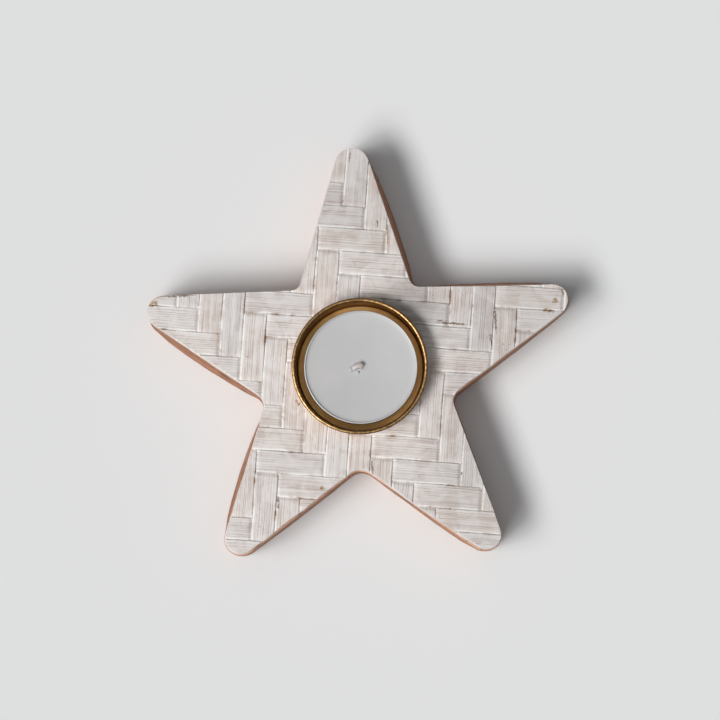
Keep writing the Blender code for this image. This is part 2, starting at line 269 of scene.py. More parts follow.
class Shader:
    """Builds one material's nodes; a link is made by passing a socket as an input."""

    def __init__(self, name):
        self.material = bpy.data.materials.new(name)
        self.material.use_nodes = True
        self.tree = self.material.node_tree
        self.surface = self.tree.nodes["Principled BSDF"]

    def put(self, socket, value):
        if isinstance(value, bpy.types.NodeSocket):
            self.tree.links.new(value, socket)
        else:
            socket.default_value = value

    def add(self, kind, inputs=None, **settings):
        node = self.tree.nodes.new(kind)
        for key, value in settings.items():
            setattr(node, key, value)
        for key, value in (inputs or {}).items():
            self.put(node.inputs[key], value)
        return node

    def math(self, operation, a, b=0.0, clamp=False):
        return self.add("ShaderNodeMath", {0: a, 1: b}, operation=operation,
                        use_clamp=clamp).outputs[0]

    def range(self, value, low, high, to_low=0.0, to_high=1.0, smooth=True):
        kind = "SMOOTHSTEP" if smooth else "LINEAR"
        return self.add("ShaderNodeMapRange", {"Value": value, "From Min": low,
                        "From Max": high, "To Min": to_low, "To Max": to_high},
                        interpolation_type=kind).outputs[0]

    def vector(self, x, y, z):
        return self.add("ShaderNodeCombineXYZ", {0: x, 1: y, 2: z}).outputs[0]

    def noise(self, vector, scale, detail=3.0, roughness=0.5, distortion=0.0):
        return self.add("ShaderNodeTexNoise", {"Vector": vector, "Scale": scale,
                        "Detail": detail, "Roughness": roughness,
                        "Distortion": distortion}).outputs["Fac"]

    def mix(self, factor, a, b, blend="MIX"):
        node = self.add("ShaderNodeMix", {0: factor}, data_type="RGBA", blend_type=blend)
        self.put(node.inputs[6], a)
        self.put(node.inputs[7], b)
        return node.outputs[2]

    def bump(self, height, distance, strength=1.0):
        return self.add("ShaderNodeBump", {"Height": height, "Distance": distance,
                        "Strength": strength}).outputs[0]

    def finish(self, **inputs):
        for key, value in inputs.items():
            self.put(self.surface.inputs[key.replace("_", " ")], value)
        return self.material


def rgb(red, green, blue):
    return (red, green, blue, 1.0)


def spot(s, place, middle, length, width, turn=0.0):
    """A mask: 1 inside a ragged oval mark on the mat. Millimetres and degrees."""
    ragged = s.add("ShaderNodeVectorMath", {0: place, 1: (-middle[0] * MM, -middle[1] * MM, 0.0)},
                   operation="ADD").outputs[0]
    ragged = s.add("ShaderNodeVectorRotate", {"Vector": ragged, "Angle": math.radians(-turn)},
                   rotation_type="Z_AXIS").outputs[0]
    ragged = s.add("ShaderNodeVectorMath", {0: ragged, 1: (2 / (length * MM), 2 / (width * MM),
                   0.0)}, operation="MULTIPLY").outputs[0]
    away = s.add("ShaderNodeVectorMath", {0: ragged}, operation="LENGTH").outputs["Value"]
    return s.range(away, 1.25, 0.75)


# Marks on the mat: (middle, length, width, turn), in millimetres and degrees
RAW_MARKS = (((-70.9, 21.7), 3.6, 1.7, 20), ((64.3, 19.2), 4.2, 1.1, -4),
             ((66.6, 22.6), 2.2, 1.6, 0), ((69.2, 25.6), 0.7, 2.2, 15),
             ((9.5, 45.6), 0.7, 9.5, 2), ((-12.9, -41.4), 1.1, 1.6, 0),
             ((-21.3, -12.2), 1.0, 2.4, 20))
# The second list is painted shade: open seams, gaps and pits, coloured dark where shade falls
# into them
GAP_SHADE_MARKS = (((6.0, 49.2), 0.5, 2.8, 3), ((46.2, 16.5), 0.65, 9.0, 3),
              ((44.7, 9.5), 0.6, 4.5, 8), ((31.5, 14.9), 11.0, 0.6, -4),
              ((27.2, 15.9), 1.8, 0.5, 0), ((-27.9, -46.2), 0.7, 4.6, 3),
              ((34.6, -36.2), 0.8, 0.8, 0), ((4.2, -34.2), 0.7, 5.0, 4),
              ((-62.0, 24.4), 11.0, 0.6, 2), ((-3.5, 72.0), 0.5, 4.0, -6))


def bamboo_material():
    """Split cane brushed with white paint. The strip's own coordinates, in millimetres,
    are in its UV map: along the fibres, and across from the strip's middle."""
    s = Shader("whitewashed_bamboo")
    place = s.add("ShaderNodeSeparateXYZ",
                  {0: s.add("ShaderNodeUVMap", uv_map="strip").outputs[0]}).outputs
    along, across = place[0], place[1]
    cut = s.add("ShaderNodeSeparateXYZ",
                {0: s.add("ShaderNodeUVMap", uv_map="groove").outputs[0]}).outputs[0]
    seed, shade, hue = (s.add("ShaderNodeAttribute", attribute_type="OBJECT",
                              attribute_name=name).outputs["Fac"]
                        for name in ("strip_seed", "strip_shade", "strip_hue"))
    world = s.add("ShaderNodeTexCoord").outputs["Object"]

    def fibre_noise(along_scale, across_scale, detail, roughness):
        return s.noise(s.vector(s.math("MULTIPLY", along, along_scale),
                                s.math("MULTIPLY", across, across_scale), seed),
                       1.0, detail, roughness)

    broad = fibre_noise(0.035, 0.55, 4.0, 0.6)
    fibres = fibre_noise(0.07, 2.6, 5.0, 0.7)
    hairs = fibre_noise(0.12, 8.0, 3.0, 0.65)
    brushing = s.noise(world, 150.0, 5.0, 0.65, 0.8)
    flecks = s.noise(world, 950.0, 3.0, 0.5)
    patches = s.noise(world, 55.0, 3.0, 0.5)

    cane = s.mix(hue, rgb(0.655, 0.555, 0.50), rgb(0.62, 0.575, 0.56))
    painted = s.mix(hue, rgb(0.83, 0.752, 0.71), rgb(0.805, 0.762, 0.745))
    color = s.mix(s.range(broad, 0.30, 0.70), cane, painted)
    color = s.mix(s.range(brushing, 0.36, 0.66, 0.0, 0.55), color, rgb(0.87, 0.835, 0.815))
    lines = s.math("ADD", s.range(fibres, 0.50, 0.34, 0.0, 0.75),
                   s.range(hairs, 0.48, 0.36, 0.0, 0.5), clamp=True)
    thinly = s.range(s.math("ADD", brushing, s.math("MULTIPLY", patches, 0.4)), 0.78, 0.58,
                     0.35, 1.0)
    color = s.mix(s.math("MULTIPLY", lines, thinly), color, rgb(0.56, 0.455, 0.405))
    # darker in the grooves: partly painted shade in them, partly bare cane where the paint is
    # thin
    in_groove = s.math("MULTIPLY", s.range(cut, 0.12, 0.75),
                       s.range(thinly, 0.3, 0.9, 0.5, 0.95))
    color = s.mix(in_groove, color, rgb(0.47, 0.365, 0.315))
    side = s.math("ABSOLUTE", across)
    ridge = s.math("MULTIPLY", s.range(side, 3.1, 3.55), s.range(brushing, 0.40, 0.56))
    color = s.mix(ridge, color, rgb(0.91, 0.875, 0.845))
    bare = s.math("MULTIPLY", s.range(side, 3.45, 3.75), s.range(brushing, 0.41, 0.35))
    color = s.mix(bare, color, rgb(0.42, 0.27, 0.17))
    worn = s.math("MULTIPLY", s.range(flecks, 0.69, 0.75), s.range(patches, 0.55, 0.42))
    color = s.mix(worn, color, rgb(0.30, 0.185, 0.12))

    ragged = s.add("ShaderNodeVectorMath", {0: world, 1: s.add("ShaderNodeVectorMath", {
        0: s.add("ShaderNodeTexNoise", {"Vector": world, "Scale": 1300.0, "Detail": 3.0})
        .outputs["Color"], 1: (0.0014, 0.0014, 0.0)}, operation="MULTIPLY").outputs[0]},
        operation="ADD").outputs[0]
    ragged = s.add("ShaderNodeVectorMath", {0: ragged, 1: (-0.0007, -0.0007, 0.0)},
                   operation="ADD").outputs[0]
    raw = gap_shade = 0.0
    for mark in RAW_MARKS:
        raw = s.math("MAXIMUM", raw, spot(s, ragged, *mark))
    for mark in GAP_SHADE_MARKS:
        gap_shade = s.math("MAXIMUM", gap_shade, spot(s, ragged, *mark))
    bamboo = s.mix(s.range(hairs, 0.42, 0.58), rgb(0.20, 0.10, 0.045), rgb(0.58, 0.40, 0.22))
    color = s.mix(s.math("MULTIPLY", raw, s.range(flecks, 0.40, 0.52, 0.45, 0.95)), color, bamboo)
    # painted shade in open seams, gaps and pits
    color = s.mix(s.math("MULTIPLY", gap_shade, s.range(flecks, 0.38, 0.50, 0.4, 0.85)), color,
                  rgb(0.15, 0.095, 0.06))

    # the mat is darker towards the upper and the right-hand points
    spread = s.add("ShaderNodeSeparateXYZ", {0: world}).outputs
    towards_upper_right = s.math("MAXIMUM", s.range(spread[0], 0.012, 0.040), s.range(spread[1], 0.020, 0.055))
    level = s.math("MULTIPLY", s.range(towards_upper_right, 0.0, 1.0, 1.0, 0.88, smooth=False), shade)
    away = s.add("ShaderNodeVectorMath", {0: world, 1: tuple(DIM_PLACE)}, operation="DISTANCE")
    level = s.math("MULTIPLY", level, s.range(away.outputs["Value"], *DIM_REACH,
                                              DIM_LEVEL, 1.0))
    color = s.mix(1.0, color, s.vector(level, level, level), "MULTIPLY")

    relief = s.math("ADD", s.math("MULTIPLY", fibres, 0.8), s.math("MULTIPLY", hairs, 0.45))
    relief = s.math("ADD", relief, s.math("MULTIPLY", brushing, 0.5))
    rough = s.range(fibres, 0.3, 0.7, 0.74, 0.56)
    return s.finish(Base_Color=color, Roughness=rough, Specular_IOR_Level=0.35,
                    Normal=s.bump(relief, 0.00016, 0.8))


def wood_material():
    """Red-brown stained wood with sawn, streaky sides and a pale arris."""
    s = Shader("stained_wood")
    world = s.add("ShaderNodeTexCoord").outputs["Object"]
    place = s.add("ShaderNodeSeparateXYZ", {0: world}).outputs
    layers = s.noise(s.vector(s.math("MULTIPLY", place[0], 26.0),
                              s.math("MULTIPLY", place[1], 26.0),
                              s.math("MULTIPLY", place[2], 700.0)), 1.0, 6.0, 0.66)
    grain = s.noise(s.vector(s.math("MULTIPLY", place[0], 16.0),
                             s.math("MULTIPLY", place[1], 420.0),
                             s.math("MULTIPLY", place[2], 420.0)), 1.0, 5.0, 0.6)
    blotch = s.noise(world, 120.0, 5.0, 0.62)
    color = s.mix(s.range(layers, 0.36, 0.62), rgb(0.20, 0.075, 0.038), rgb(0.58, 0.275, 0.145))
    color = s.mix(s.range(grain, 0.55, 0.75, 0.0, 0.55), color, rgb(0.70, 0.39, 0.24))
    color = s.mix(s.range(blotch, 0.55, 0.68, 0.0, 0.75), color, rgb(0.13, 0.055, 0.034))
    arris = s.math("MULTIPLY", s.range(place[2], 0.0168, 0.0180),
                   s.range(blotch, 0.60, 0.45, 0.2, 0.8))
    color = s.mix(arris, color, rgb(0.78, 0.47, 0.33))
    relief = s.math("ADD", layers, s.math("MULTIPLY", grain, 0.5))
    return s.finish(Base_Color=color, Roughness=s.range(layers, 0.3, 0.7, 0.82, 0.6),
                    Specular_IOR_Level=0.3, Normal=s.bump(relief, 0.00025, 0.8))


def brass_material():
    """Thin spun brass: bright floor, painted light; dark inner wall and bead side, painted shade.
    """
    s = Shader("brass")
    world = s.add("ShaderNodeTexCoord").outputs["Object"]
    place = s.add("ShaderNodeSeparateXYZ", {0: world}).outputs
    smears = s.noise(world, 170.0, 4.0, 0.6, 0.5)
    specks = s.noise(world, 1100.0, 3.0, 0.6)
    spin = s.noise(s.vector(0.0, 0.0, s.math("MULTIPLY", place[2], 2600.0)), 1.0, 2.0)
    flat = s.add("ShaderNodeVectorMath", {0: world, 1: (1.0, 1.0, 0.0)}, operation="MULTIPLY")
    radius = s.add("ShaderNodeVectorMath", {0: flat.outputs[0]}, operation="LENGTH")
    radius = radius.outputs["Value"]
    # the floor's brighter colour is painted light in the deep cup, and the inner wall's darker
    # one is painted shade
    floor = s.mix(s.range(smears, 0.3, 0.7), rgb(0.94, 0.53, 0.19), rgb(1.0, 0.66, 0.28))
    wall = s.mix(s.range(smears, 0.3, 0.7), rgb(0.46, 0.25, 0.09), rgb(0.60, 0.34, 0.13))
    inner = s.range(radius, 0.02125, 0.0217)
    color = s.mix(inner, floor, wall)
    rubbed = s.mix(s.range(specks, 0.38, 0.62), rgb(0.30, 0.165, 0.06), rgb(0.62, 0.38, 0.165))
    color = s.mix(s.range(place[2], 0.0249, 0.0260), color, rubbed)
    # the outside of the rim's bead is painted dark all round: painted shade
    outer = s.range(radius, 0.02275, 0.02315)
    color = s.mix(s.math("MULTIPLY", outer, 0.9), color, rgb(0.17, 0.09, 0.04))
    rough = s.math("ADD", s.range(smears, 0.3, 0.7, 0.26, 0.40),
                   s.math("MULTIPLY", spin, 0.06))
    rough = s.mix(inner, s.vector(0.52, 0.52, 0.52), s.vector(rough, rough, rough))
    relief = s.math("ADD", smears, s.math("MULTIPLY", specks, 0.3))
    return s.finish(Base_Color=color, Metallic=1.0, Roughness=rough,
                    Normal=s.bump(relief, 0.0001, 0.35))


def aluminium_material():
    """Thin rolled aluminium, a little matt."""
    s = Shader("aluminium")
    world = s.add("ShaderNodeTexCoord").outputs["Object"]
    marks = s.noise(world, 420.0, 4.0, 0.6)
    color = s.mix(marks, rgb(0.50, 0.49, 0.48), rgb(0.62, 0.61, 0.60))
    return s.finish(Base_Color=color, Metallic=1.0, Roughness=s.range(marks, 0.3, 0.7, 0.48, 0.6),
                    Normal=s.bump(marks, 0.00006, 0.4))


def wax_material():
    """Matt paraffin wax: slightly uneven where it set."""
    s = Shader("wax")
    world = s.add("ShaderNodeTexCoord").outputs["Object"]
    clouds = s.noise(world, 60.0, 3.0, 0.5)
    grains = s.noise(world, 900.0, 2.0, 0.5)
    color = s.mix(s.range(clouds, 0.3, 0.7), rgb(0.55, 0.545, 0.545), rgb(0.60, 0.585, 0.58))
    relief = s.math("ADD", clouds, s.math("MULTIPLY", grains, 0.06))
    return s.finish(Base_Color=color, Roughness=s.range(clouds, 0.3, 0.7, 0.48, 0.58),
                    Specular_IOR_Level=0.3, Subsurface_Weight=0.1, Subsurface_Scale=0.002,
                    Subsurface_Radius=(1.0, 0.8, 0.7), Normal=s.bump(relief, 0.0002, 0.4))


def wick_material():
    s = Shader("wick_cotton")
    world = s.add("ShaderNodeTexCoord").outputs["Object"]
    threads = s.noise(world, 2200.0, 3.0, 0.6)
    soak = s.noise(world, 700.0, 2.0, 0.5)
    color = s.mix(s.range(soak, 0.35, 0.65), rgb(0.50, 0.43, 0.40), rgb(0.72, 0.66, 0.635))
    return s.finish(Base_Color=color, Roughness=s.range(threads, 0.3, 0.7, 0.65, 0.85),
                    Sheen_Weight=0.15, Normal=s.bump(threads, 0.0001, 0.6))


def tin_material():
    s = Shader("tinned_steel")
    world = s.add("ShaderNodeTexCoord").outputs["Object"]
    marks = s.noise(world, 800.0, 3.0, 0.6)
    color = s.mix(marks, rgb(0.52, 0.52, 0.53), rgb(0.68, 0.68, 0.68))
    return s.finish(Base_Color=color, Metallic=1.0,
                    Roughness=s.range(marks, 0.3, 0.7, 0.3, 0.45))


def floor_material():
    s = Shader("pale_floor")
    world = s.add("ShaderNodeTexCoord").outputs["Object"]
    tone = s.noise(world, 3.0, 2.0)
    color = s.mix(tone, rgb(0.795, 0.795, 0.797), rgb(0.805, 0.805, 0.805))
    return s.finish(Base_Color=color, Roughness=0.9, Specular_IOR_Level=0.1)


# ---------------------------------------------------------------- star block

def loft(name, rings, material):
    """A closed solid through rings of the same number of 3D points, lowest first."""
    count = len(rings[0])
    vertices = [point for ring in rings for point in ring]
    faces = [tuple(reversed(range(count)))]
    for level in range(len(rings) - 1):
        for i in range(count):
            following = (i + 1) % count
            faces.append((level * count + i, level * count + following,
                          (level + 1) * count + following, (level + 1) * count + i))
    faces.append(tuple(range((len(rings) - 1) * count, len(rings) * count)))
    return mesh_object(name, vertices, faces, material, smooth=False)


def sawn_ring(height):
    """The block's outline at a height, with the saw's waver and rounded arrises."""
    part = (height - block_low) / (block_high - block_low)
    from_edge = min(height - block_low, block_high - height)
    past = max(0.0, BLOCK_ARRIS - from_edge)
    inset = BLOCK_ARRIS - math.sqrt(max(0.0, BLOCK_ARRIS ** 2 - past ** 2))
    ring = []
    for foot, head, normal in zip(foot_outline, mat_outline, outward(mat_outline)):
        point = foot.lerp(head, part)
        waver = noise.noise(Vector((point.x, point.y, height * 0.6)) * 160.0)
        ripple = noise.noise(Vector((point.x * 40.0, point.y * 40.0, height * 900.0)))
        out = SAW_WAVER * waver * (1 - part) + SAW_RIPPLE * ripple - inset
        ring.append((*(point + normal * out), height))
    return ring


def make_star_block(material):
    depth = block_high - block_low
    arris_heights = [0.0, 0.06, 0.15, 0.28, 0.45]
    heights = [block_low + h * MM for h in arris_heights]
    heights += [block_low + depth * step / 30 for step in range(1, 30)]
    heights += [block_high - h * MM for h in reversed(arris_heights)]
    block = loft("sawn_star_block", [sawn_ring(height) for height in heights], material)
    pocket_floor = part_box("brass_cup")[0].z - CLEARANCE
    plug = arc(Vector((0.0, 0.0)), pocket_radius, 0.0, math.tau, 96)[:-1]
    cutter = loft("pocket", [[(*p, pocket_floor) for p in plug],
                             [(*p, block_high + 5 * MM) for p in plug]], material)
    boolean(block, cutter, "DIFFERENCE")
    remove(cutter)
    block.data.shade_smooth()
    block.data.set_sharp_from_angle(angle=math.radians(40))
    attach(block, HOLDER)
    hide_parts("star_block")


# ---------------------------------------------------------------- woven mat

class Seams:
    """The seams between one family's strips: each strays, opens and closes a little."""

    def __init__(self, start, mirrored=None):
        self.start = start
        self.mirrored = mirrored
        self.seed = random.uniform(0, 90)

    def place(self, number):
        if self.mirrored:
            return -self.mirrored.place(-number)
        return self.start + number * STRIP_PITCH

    def middle(self, number, along):
        if self.mirrored:
            return -self.mirrored.middle(-number, along)
        slow = noise.noise(Vector((along * 40, number * 3.7, self.seed)))
        quick = noise.noise(Vector((along * 700, number * 5.3, self.seed + 9)))
        return self.place(number) + SEAM_WANDER * slow + SEAM_RAGGED * quick

    def gap(self, number, along):
        if self.mirrored:
            return self.mirrored.gap(-number, along)
        change = noise.noise(Vector((along * 110, number * 4.7, self.seed + 21)))
        return SEAM + SEAM_VARIES * 1.6 * change

    def cell(self, place):
        """The number of the strip that lies at this place."""
        if self.mirrored:
            return -1 - self.mirrored.cell(-place)
        return math.floor((place - self.start) / STRIP_PITCH)


def rise(place, seams, is_over):
    """How far up a strip is at a place along it: 0 under the others, 1 over them."""
    here = seams.cell(place)
    over = is_over(here)
    height = 1.0 if over else 0.0
    for neighbour, seam in ((here - 1, seams.place(here)), (here + 1, seams.place(here + 1))):
        if is_over(neighbour) != over:
            inside = abs(seam - place)
            height = smoothstep(-DIVE_AFTER, DIVE_BEFORE, inside if over else -inside)
    return height


def float_arch(place, seams, is_over):
    """A float's extra height in its middle."""
    here = seams.cell(place)
    if not is_over(here):
        return 0.0
    first = last = here
    while is_over(first - 1):
        first -= 1
    while is_over(last + 1):
        last += 1
    part = (place - seams.place(first)) / (seams.place(last + 1) - seams.place(first))
    return FLOAT_ARCH * math.sin(math.pi * part)


def stations(seams, is_over, low, high):
    """Places along a strip: close together at its dives, wider apart on its floats."""
    places = [low, high]
    steps = math.ceil((high - low) / FLOAT_STEP)
    places += [low + (high - low) * step / steps for step in range(steps + 1)]
    for number in range(seams.cell(low), seams.cell(high) + 2):
        if is_over(number) != is_over(number - 1):
            first = -DIVE_BEFORE if is_over(number - 1) else -DIVE_AFTER
            places += [seams.place(number) + first
                       + (DIVE_BEFORE + DIVE_AFTER) * step / DIVE_STEPS
                       for step in range(DIVE_STEPS + 1)]
    kept = []
    for place in sorted(places):
        if low <= place <= high and (not kept or place - kept[-1] > 0.12 * MM):
            kept.append(place)
    return kept


def strip_columns(half):
    """Places across a strip: its rounded edges, and each groove's brinks and bottom.
    A place is (how far from the middle, which groove's bottom it is or None)."""
    edge = [EDGE_WIDTH * (1 - math.cos(math.pi / 2 * step / EDGE_STEPS))
            for step in range(EDGE_STEPS + 1)]
    columns = [(-half + place, None) for place in edge]
    place = -half + EDGE_WIDTH + random.uniform(0.25, 0.5) * MM
    groove = 0
    while place < half - EDGE_WIDTH - 0.2 * MM:
        width = random.uniform(*GROOVE_WIDTH)
        columns += [(place - width, None), (place, groove), (place + width, None)]
        spacing = random.uniform(*GROOVE_SPACING)
        if spacing > 0.6 * MM:
            columns.append((place + spacing / 2, None))
        place += spacing
        groove += 1
    columns = [column for column in columns if column[0] < half - EDGE_WIDTH - 0.04 * MM]
    return columns + [(half - place, None) for place in reversed(edge)]


def woven_strip(name, number, sides, seams, is_over, reach, seed, material):
    """A whole strip along +Y. Its UV map "strip" holds millimetres along and across it,
    and "groove" how deep the grooves are there."""
    half = STRIP_PITCH / 2
    columns = strip_columns(half)
    tilt = math.tan(random.uniform(-1, 1) * ROLL)
    lift = random.uniform(-0.5, 1.0) * 0.07 * MM
    rings, uvs = [], []
    for place in stations(seams, is_over, *reach):
        base = lower_level + (upper_level - lower_level) * rise(place, seams, is_over)
        arch = float_arch(place, seams, is_over) + lift
        low_side = sides.middle(number, place) + sides.gap(number, place) / 2
        high_side = sides.middle(number + 1, place) - sides.gap(number + 1, place) / 2
        middle, stretch = (low_side + high_side) / 2, (high_side - low_side) / 2 / half
        ring, ring_uv = [], []
        for across, groove in columns:
            from_edge = half - abs(across)
            down = max(0.0, 1 - from_edge / EDGE_WIDTH)
            drop = EDGE_DROP * (1 - math.sqrt(1 - down * down))
            swell = FIBRE_RELIEF * noise.noise(Vector((across * 800, place * 28, seed)))
            swell += PAINT_RELIEF * noise.noise(Vector((across * 950, place * 600, seed + 3)))
            depth = 0.0
            if groove is not None:
                depth = 0.5 + 1.3 * noise.noise(Vector((place * 36, groove * 5.1, seed + 5)))
                depth = min(1.0, max(0.0, depth))
            top = base + arch + STRIP_THICKNESS + CROWN * (1 - (across / half) ** 2) - drop
            wander = 0.10 * MM * noise.noise(Vector((across * 700, place * 22, seed + 8)))
            wander *= 1 - down
            ring.append((middle + (across + wander) * stretch, place,
                         top + swell - GROOVE_DEPTH * depth + across * tilt))
            ring_uv.append((place / MM, across / MM, depth))
        for across in (half - 0.04 * MM, -half + 0.04 * MM):
            ring.append((middle + across * stretch, place, base))
            ring_uv.append((place / MM, across / MM, 0.0))
        rings.append(ring)
        uvs += ring_uv
    strip = loft(name, rings, material)
    layers = [strip.data.uv_layers.new(name=layer) for layer in ("strip", "groove")]
    for corner in strip.data.loops:
        along, across, depth = uvs[corner.vertex_index]
        layers[0].data[corner.index].uv = (along, across)
        layers[1].data[corner.index].uv = (depth, 0.0)
    return strip


def mat_inset(point):
    """How far the mat stops short of the block's arris here."""
    extra = max(most * math.exp(-((point / MM - Vector(middle)).length / reach) ** 2)
                for middle, reach, most in MAT_SHORT)
    ragged = 0.07 * MM * noise.noise(Vector((point.x * 240, point.y * 240, 4.0)))
    return max(0.0, MAT_INSET + extra * MM + ragged)


def mat_cutter(material):
    """The mat's shape: the star's outline with a sanded, sloping edge, less the hole for
    the cup."""
    normals = outward(mat_outline)
    insets = [mat_inset(point) for point in mat_outline]

    worn = [0.25 + 0.75 * max(0.0, -(normal.x + normal.y) / math.sqrt(2)) for normal in normals]

    def ring(slope, height):
        return [(*(point - normal * (inset + slope * wear * MM)), height)
                for point, normal, inset, wear in zip(mat_outline, normals, insets, worn)]
    rings = [ring(0.0, lower_level - 0.15 * MM), ring(0.0, lower_level + 0.1 * MM),
             ring(0.10, lower_level + 0.35 * MM), ring(0.24, lower_level + 0.6 * MM),
             ring(0.36, upper_level + 0.25 * MM), ring(0.58, upper_level + 0.6 * MM),
             ring(0.9, upper_level + 1.2 * MM)]
    cutter = loft("mat_shape", rings, material)
    hole = arc(Vector((0.0, 0.0)), pocket_radius, 0.0, math.tau, 128)[:-1]
    plug = loft("cup_hole", [[(*p, block_low) for p in hole],
                             [(*p, block_high + 9 * MM) for p in hole]], material)
    boolean(cutter, plug, "DIFFERENCE")
    remove(plug)
    return cutter


def separate_solids(mesh):
    """The solids of a mesh, each as (mesh, centre of its box, area seen from above)."""
    bm = bmesh.new()
    bm.from_mesh(mesh)
    waiting, solids = set(bm.faces), []
    while waiting:
        found, front = set(), [next(iter(waiting))]
        found.add(front[0])
        while front:
            for edge in front.pop().edges:
                for face in edge.link_faces:
                    if face not in found:
                        found.add(face)
                        front.append(face)
        waiting -= found
        solids.append(sorted(face.index for face in found))
    result = []
    for indexes in sorted(solids):
        part = bm.copy()
        part.faces.ensure_lookup_table()
        keep = {part.faces[i] for i in indexes}
        bmesh.ops.delete(part, geom=[f for f in part.faces if f not in keep],
                         context="FACES")
        xs = [v.co for v in part.verts]
        low = Vector((min(p.x for p in xs), min(p.y for p in xs), 0.0))
        high = Vector((max(p.x for p in xs), max(p.y for p in xs), 0.0))
        area = sum(f.calc_area() for f in part.faces if f.normal.z > 0.5)
        piece = bpy.data.meshes.new("strip")
        part.to_mesh(piece)
        piece.materials.append(mesh.materials[0])
        part.free()
        result.append((piece, (low + high) / 2, area))
    bm.free()
    return result


def node_places(family):
    """The middle of each of the family's CAD strips."""
    places = {}
    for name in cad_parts:
        if name.startswith(family):
            low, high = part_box(name)
            places[name] = ((low + high) / 2).xy
    return places


def weave_family(family, turn, sides, crossings, is_over, cutter, material):
    """Weaves, cuts and names one family of strips, each for its CAD node."""
    nodes = node_places(family + "_strip")
    to_strip = turn.inverted()
    local = [to_strip @ Vector((*p, 0.0)) for p in mat_outline]
    offcuts = 0
    for number in range(-WEAVE_REACH, WEAVE_REACH):
        seed, shade = random.uniform(0, 90), random.uniform(0.97, 1.03)
        hue = random.uniform(0.0, 1.0)
        within = [p.y for p in local
                  if sides.place(number) - 3 * MM < p.x < sides.place(number + 1) + 3 * MM]
        if not within:
            continue
        reach = (min(within) - 2 * MM, max(within) + 2 * MM)

        def over(crossing, strip=number):
            return is_over(strip, crossing)

        strip = woven_strip("strip", number, sides, crossings, over, reach, seed, material)
        strip.data.transform(turn)
        boolean(strip, cutter, "INTERSECT")
        for mesh, centre, area in separate_solids(strip.data):
            if area < SMALLEST_OFFCUT:
                continue
            node = min(nodes, key=lambda n: (nodes[n] - centre.xy).length, default=None)
            if node and (nodes[node] - centre.xy).length < NODE_NEAR:
                name = "bamboo_" + node
                del nodes[node]
            else:
                offcuts += 1
                node, name = None, f"bamboo_{family}_offcut_{offcuts:02d}"
            sunken = (centre.xy - SUNKEN_PLACE).length < SUNKEN_REACH
            if sunken:
                mesh.transform(Matrix.Translation((0.0, 0.0, -SUNKEN_DROP)))
            mesh.name = name
            mesh.shade_smooth()
            mesh.set_sharp_from_angle(angle=math.radians(50))
            piece = link(bpy.data.objects.new(name, mesh))
            piece["strip_seed"] = seed
            # a sunken piece is painted darker and in the grey tint: painted shade in its recess
            piece["strip_shade"] = shade * (0.72 if sunken else 1.0)
            piece["strip_hue"] = 1.4 if sunken else hue
            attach(piece, HOLDER)
            if node:
                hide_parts(node)
        remove(strip)
    if nodes:
        print("strips with no piece:", sorted(nodes))


def make_mat(material):
    cutter = mat_cutter(material)
    warp_seams, weft_seams = Seams(WEAVE_START.x), Seams(WEAVE_START.y)

    def warp_over(warp, weft):
        return (warp + weft) % TWILL_REPEAT < TWILL_OVER

    def weft_over(weft, warp):
        return not warp_over(warp, -1 - weft)

    weave_family("warp", Matrix.Rotation(WEAVE_TURN, 4, "Z"), warp_seams, weft_seams,
                 warp_over, cutter, material)
    # the weft's own axes: +Y runs right along it, +X runs down the star across it
    weave_family("weft", Matrix.Rotation(WEAVE_TURN - math.pi / 2, 4, "Z"),
                 Seams(0.0, mirrored=weft_seams), warp_seams, weft_over, cutter, material)
    remove(cutter)


# ---------------------------------------------------------------- turned pieces

def turned(name, profile, material, segments=160, centre=Vector((0.0, 0.0)), closed=False):
    """Turns a profile of (radius, height), which runs down its outer side."""
    vertices, faces, rows = [], [], []
    for point in profile:
        if point.x < 1e-7:
            rows.append([len(vertices)] * segments)
            vertices.append((centre.x, centre.y, point.y))
            continue
        row = []
        for step in range(segments):
            angle = math.tau * step / segments
            row.append(len(vertices))
            vertices.append((centre.x + point.x * math.cos(angle),
                             centre.y + point.x * math.sin(angle), point.y))
        rows.append(row)
    pairs = list(zip(rows, rows[1:]))
    if closed:
        pairs.append((rows[-1], rows[0]))
    for upper, lower in pairs:
        for i in range(segments):
            j = (i + 1) % segments
            corners = [upper[i], lower[i], lower[j], upper[j]]
            face = list(dict.fromkeys(corners))
            if len(face) > 2:
                faces.append(face)
    obj = mesh_object(name, vertices, faces, material)
    obj.data.set_sharp_from_angle(angle=math.radians(35))
    return obj


def make_brass_cup(material):
    low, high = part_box("brass_cup")
    bead = 0.65 * MM
    wall = 0.6 * MM
    inside = high.x - 2 * bead
    outside = inside + wall
    corner = 0.8 * MM
    floor = low.z + wall
    profile = [Vector((0.0, floor))]
    profile += [Vector((radius * MM, floor + ring * MM))
                for radius, ring in ((6.0, 0.0), (12.0, 0.02), (15.5, 0.0), (19.0, 0.0))]
    profile += arc(Vector((inside - corner, floor + corner)), corner, -math.pi / 2,
                   math.pi / 2, 8)
    profile.append(Vector((inside, high.z - 3 * bead)))
    profile += arc(Vector((inside + bead, high.z - bead)), bead, math.pi, -1.55 * math.pi, 24)
    profile.append(Vector((outside, high.z - 2.3 * bead)))
    profile += arc(Vector((outside - corner - wall, low.z + corner + wall)), corner + wall, 0.0,
                   -math.pi / 2, 8)
    profile.append(Vector((0.0, low.z)))
    cup = turned("spun_brass_cup", profile, material, segments=192)
    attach(cup, HOLDER)
    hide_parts("brass_cup")


